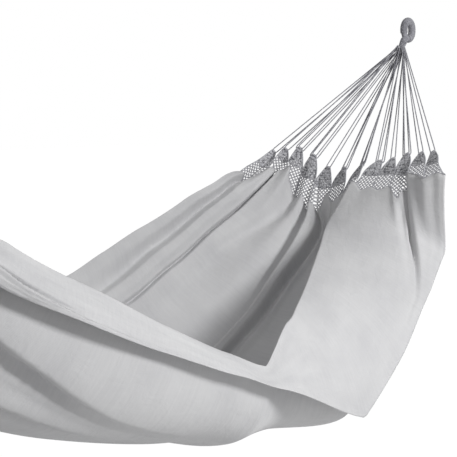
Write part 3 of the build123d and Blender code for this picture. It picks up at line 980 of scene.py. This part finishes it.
def ring_point(turns):
    """Middle of the wrapping cord after a number of turns round the ring."""
    angle = np.radians(180 + NECK_SLOPE + OPEN_ANGLE / 2 + (360 - OPEN_ANGLE) * turns / WRAP_TURNS)
    reach = EYE_BUNDLE_RADIUS + WRAP_GAP + SOLID_WRAP_CORD / 2
    out = EYE_RING_RADIUS + reach * np.cos(2 * np.pi * turns)
    return np.column_stack((out * np.cos(angle), reach * np.sin(2 * np.pi * turns),
                            out * np.sin(angle)))


def whip_point(turns):
    """Middle of the whipping cord after a number of turns round the neck."""
    across = np.array((-neck_way.z, 0, neck_way.x))
    reach = EYE_BUNDLE_RADIUS + WRAP_GAP + WHIP_CORD / 2
    along_neck = np.outer(WHIP_START + turns * WHIP_CORD * WHIP_SPACING, neck_way)
    return along_neck + reach * (np.outer(np.cos(2 * np.pi * turns), across)
                                 + np.outer(np.sin(2 * np.pi * turns), (0, 1, 0)))


def bunch_paths():
    """Strands that leave the ring, run down the neck and over its knot."""
    across = Vector((-neck_way.z, 0, neck_way.x))
    paths = []
    for ring, count in BUNCH_RINGS:
        for i in range(count):
            turn = 2 * math.pi * i / count
            side = across * math.cos(turn) + Vector((0, 1, 0)) * math.sin(turn)
            corners = [neck_way * down + side * (ring * share) for down, share in BUNCH_STOPS]
            paths.append(route_points(corners, 0.003))
    return paths


def ring_core():
    """The bunch itself, one round ring, made by turning a circle about Y."""
    core = bmesh.new()
    circle = bmesh.ops.create_circle(core, segments=20, radius=EYE_BUNDLE_RADIUS)
    bmesh.ops.translate(core, verts=circle["verts"], vec=(EYE_RING_RADIUS, 0, 0))
    bmesh.ops.spin(core, geom=core.verts[:] + core.edges[:], cent=(0, 0, 0), axis=(0, 1, 0),
                   angle=2 * math.pi, steps=72, use_merge=True)
    bmesh.ops.remove_doubles(core, verts=core.verts, dist=1e-6)
    bmesh.ops.recalc_face_normals(core, faces=core.faces)
    return core


for end, (place, _) in ENDS.items():
    turns = np.linspace(0, WRAP_TURNS, WRAP_TURNS * WRAP_STEPS + 1)
    paths = [np.array([place(p) for p in ring_point(turns)])]
    mesh = tubes(f"{end}_ring_wrapping", paths, WRAP_CORD / 2)
    dress(mesh.name, mesh, f"{end}_eye", wrap_cotton, [f"{end}_eye_wrapping"])

    turns = np.linspace(0, WHIP_TURNS, WHIP_TURNS * WRAP_STEPS + 1)
    paths = [np.array([place(p) for p in whip_point(turns)])]
    mesh = tubes(f"{end}_whipping", paths, WHIP_CORD / 2)
    dress(mesh.name, mesh, f"{end}_eye", wrap_cotton, [f"{end}_neck_whipping"])

    bunch = ring_core()
    plies = []
    for line in bunch_paths():
        plies += ply_paths(np.array([place(p) for p in line]), PLY_RADIUS, LAY_LENGTH)
    strands = tubes("strands", plies, PLY_RADIUS)
    bunch.from_mesh(strands)
    bpy.data.meshes.remove(strands)
    mesh = bpy.data.meshes.new(f"{end}_cord_bunch")
    for vertex in bunch.verts:
        if end == "foot" and vertex.co.x > -HOOK_SPAN / 2:
            vertex.co.x = -HOOK_SPAN - vertex.co.x
    bmesh.ops.recalc_face_normals(bunch, faces=bunch.faces)
    bunch.to_mesh(mesh)
    bunch.free()
    dress(mesh.name, mesh, f"{end}_eye", cord_cotton, [f"{end}_eye_bundle"])
    print(end, "eye has", WRAP_TURNS, "turns round its ring")

# %% [markdown]
# ## Floor, backdrop and light
# The picture is on plain white. The floor and the world are white to the
# camera alone, while the light on the cloth stays at a level where a colour
# renders about as it is written. A lamp in front lights the lapel and lets the
# turned-out edge throw its shadow, a weaker one above makes the folds read, and
# the even light of the world fills both.

# %% Stage and light
FLOOR_Z = -1.75
WORLD_STRENGTH = 0.25
# Name, place, aim, size and power in watts
LAMPS = (("above", (-2.2, -0.4, 2.5), (-1.3, 0.0, -0.95), 0.4, 14),
         ("front", (-1.2, -3.2, 0.8), (-1.3, -0.4, -1.0), 0.8, 88))


def camera_white(tree, surface, strength, share):
    """Mixes a surface with plain white that only the camera and mirrors see."""
    rays = add(tree, "LightPath")
    seen = add(tree, "Math", {0: rays.outputs["Is Camera Ray"], 1: rays.outputs["Is Glossy Ray"]},
               operation="MAXIMUM")
    seen = add(tree, "Math", {0: seen.outputs[0], 1: rays.outputs["Is Transmission Ray"]},
               operation="MAXIMUM")
    part = add(tree, "Math", {0: seen.outputs[0], 1: share}, operation="MULTIPLY")
    kind = "Background" if surface.node.type == "BACKGROUND" else "Emission"
    white = add(tree, kind, {"Color": (1, 1, 1, 1), "Strength": strength})
    return add(tree, "MixShader", {0: part.outputs[0], 1: surface, 2: white.outputs[0]})


floor_mesh = bmesh.new()
bmesh.ops.create_grid(floor_mesh, x_segments=1, y_segments=1, size=30)
bmesh.ops.translate(floor_mesh, verts=floor_mesh.verts, vec=(-1.5, 0, FLOOR_Z))
mesh = bpy.data.meshes.new("floor")
floor_mesh.to_mesh(mesh)
floor_mesh.free()
floor = bpy.data.objects.new("floor", mesh)
bpy.context.scene.collection.objects.link(floor)
paper = bpy.data.materials.new("white_paper")
paper.use_nodes = True
tree = paper.node_tree
matte = add(tree, "BsdfDiffuse", {"Color": linear("#F4F4F4")})
mixed = camera_white(tree, matte.outputs[0], 1.03, 0.98)
tree.links.new(mixed.outputs[0], tree.nodes["Material Output"].inputs["Surface"])
mesh.materials.append(paper)

world = bpy.data.worlds.new("studio")
bpy.context.scene.world = world
world.use_nodes = True
tree = world.node_tree
even = tree.nodes["Background"]
even.inputs["Color"].default_value = (1, 1, 1, 1)
even.inputs["Strength"].default_value = WORLD_STRENGTH
mixed = camera_white(tree, even.outputs[0], 1.0, 1.0)
tree.links.new(mixed.outputs[0], tree.nodes["World Output"].inputs["Surface"])


def soft_lamp(name, place, aim, size, power):
    """Adds a round area lamp that points from place to aim."""
    lamp = bpy.data.objects.new(name, bpy.data.lights.new(name, "AREA"))
    bpy.context.scene.collection.objects.link(lamp)
    lamp.data.shape = "DISK"
    lamp.data.size = size
    lamp.data.energy = power
    lamp.location = place
    lamp.rotation_euler = (Vector(aim) - Vector(place)).to_track_quat("-Z", "Y").to_euler()


for lamp_facts in LAMPS:
    soft_lamp(*lamp_facts)
bpy.context.scene.view_settings.view_transform = "Standard"
print("stage and lamps ready")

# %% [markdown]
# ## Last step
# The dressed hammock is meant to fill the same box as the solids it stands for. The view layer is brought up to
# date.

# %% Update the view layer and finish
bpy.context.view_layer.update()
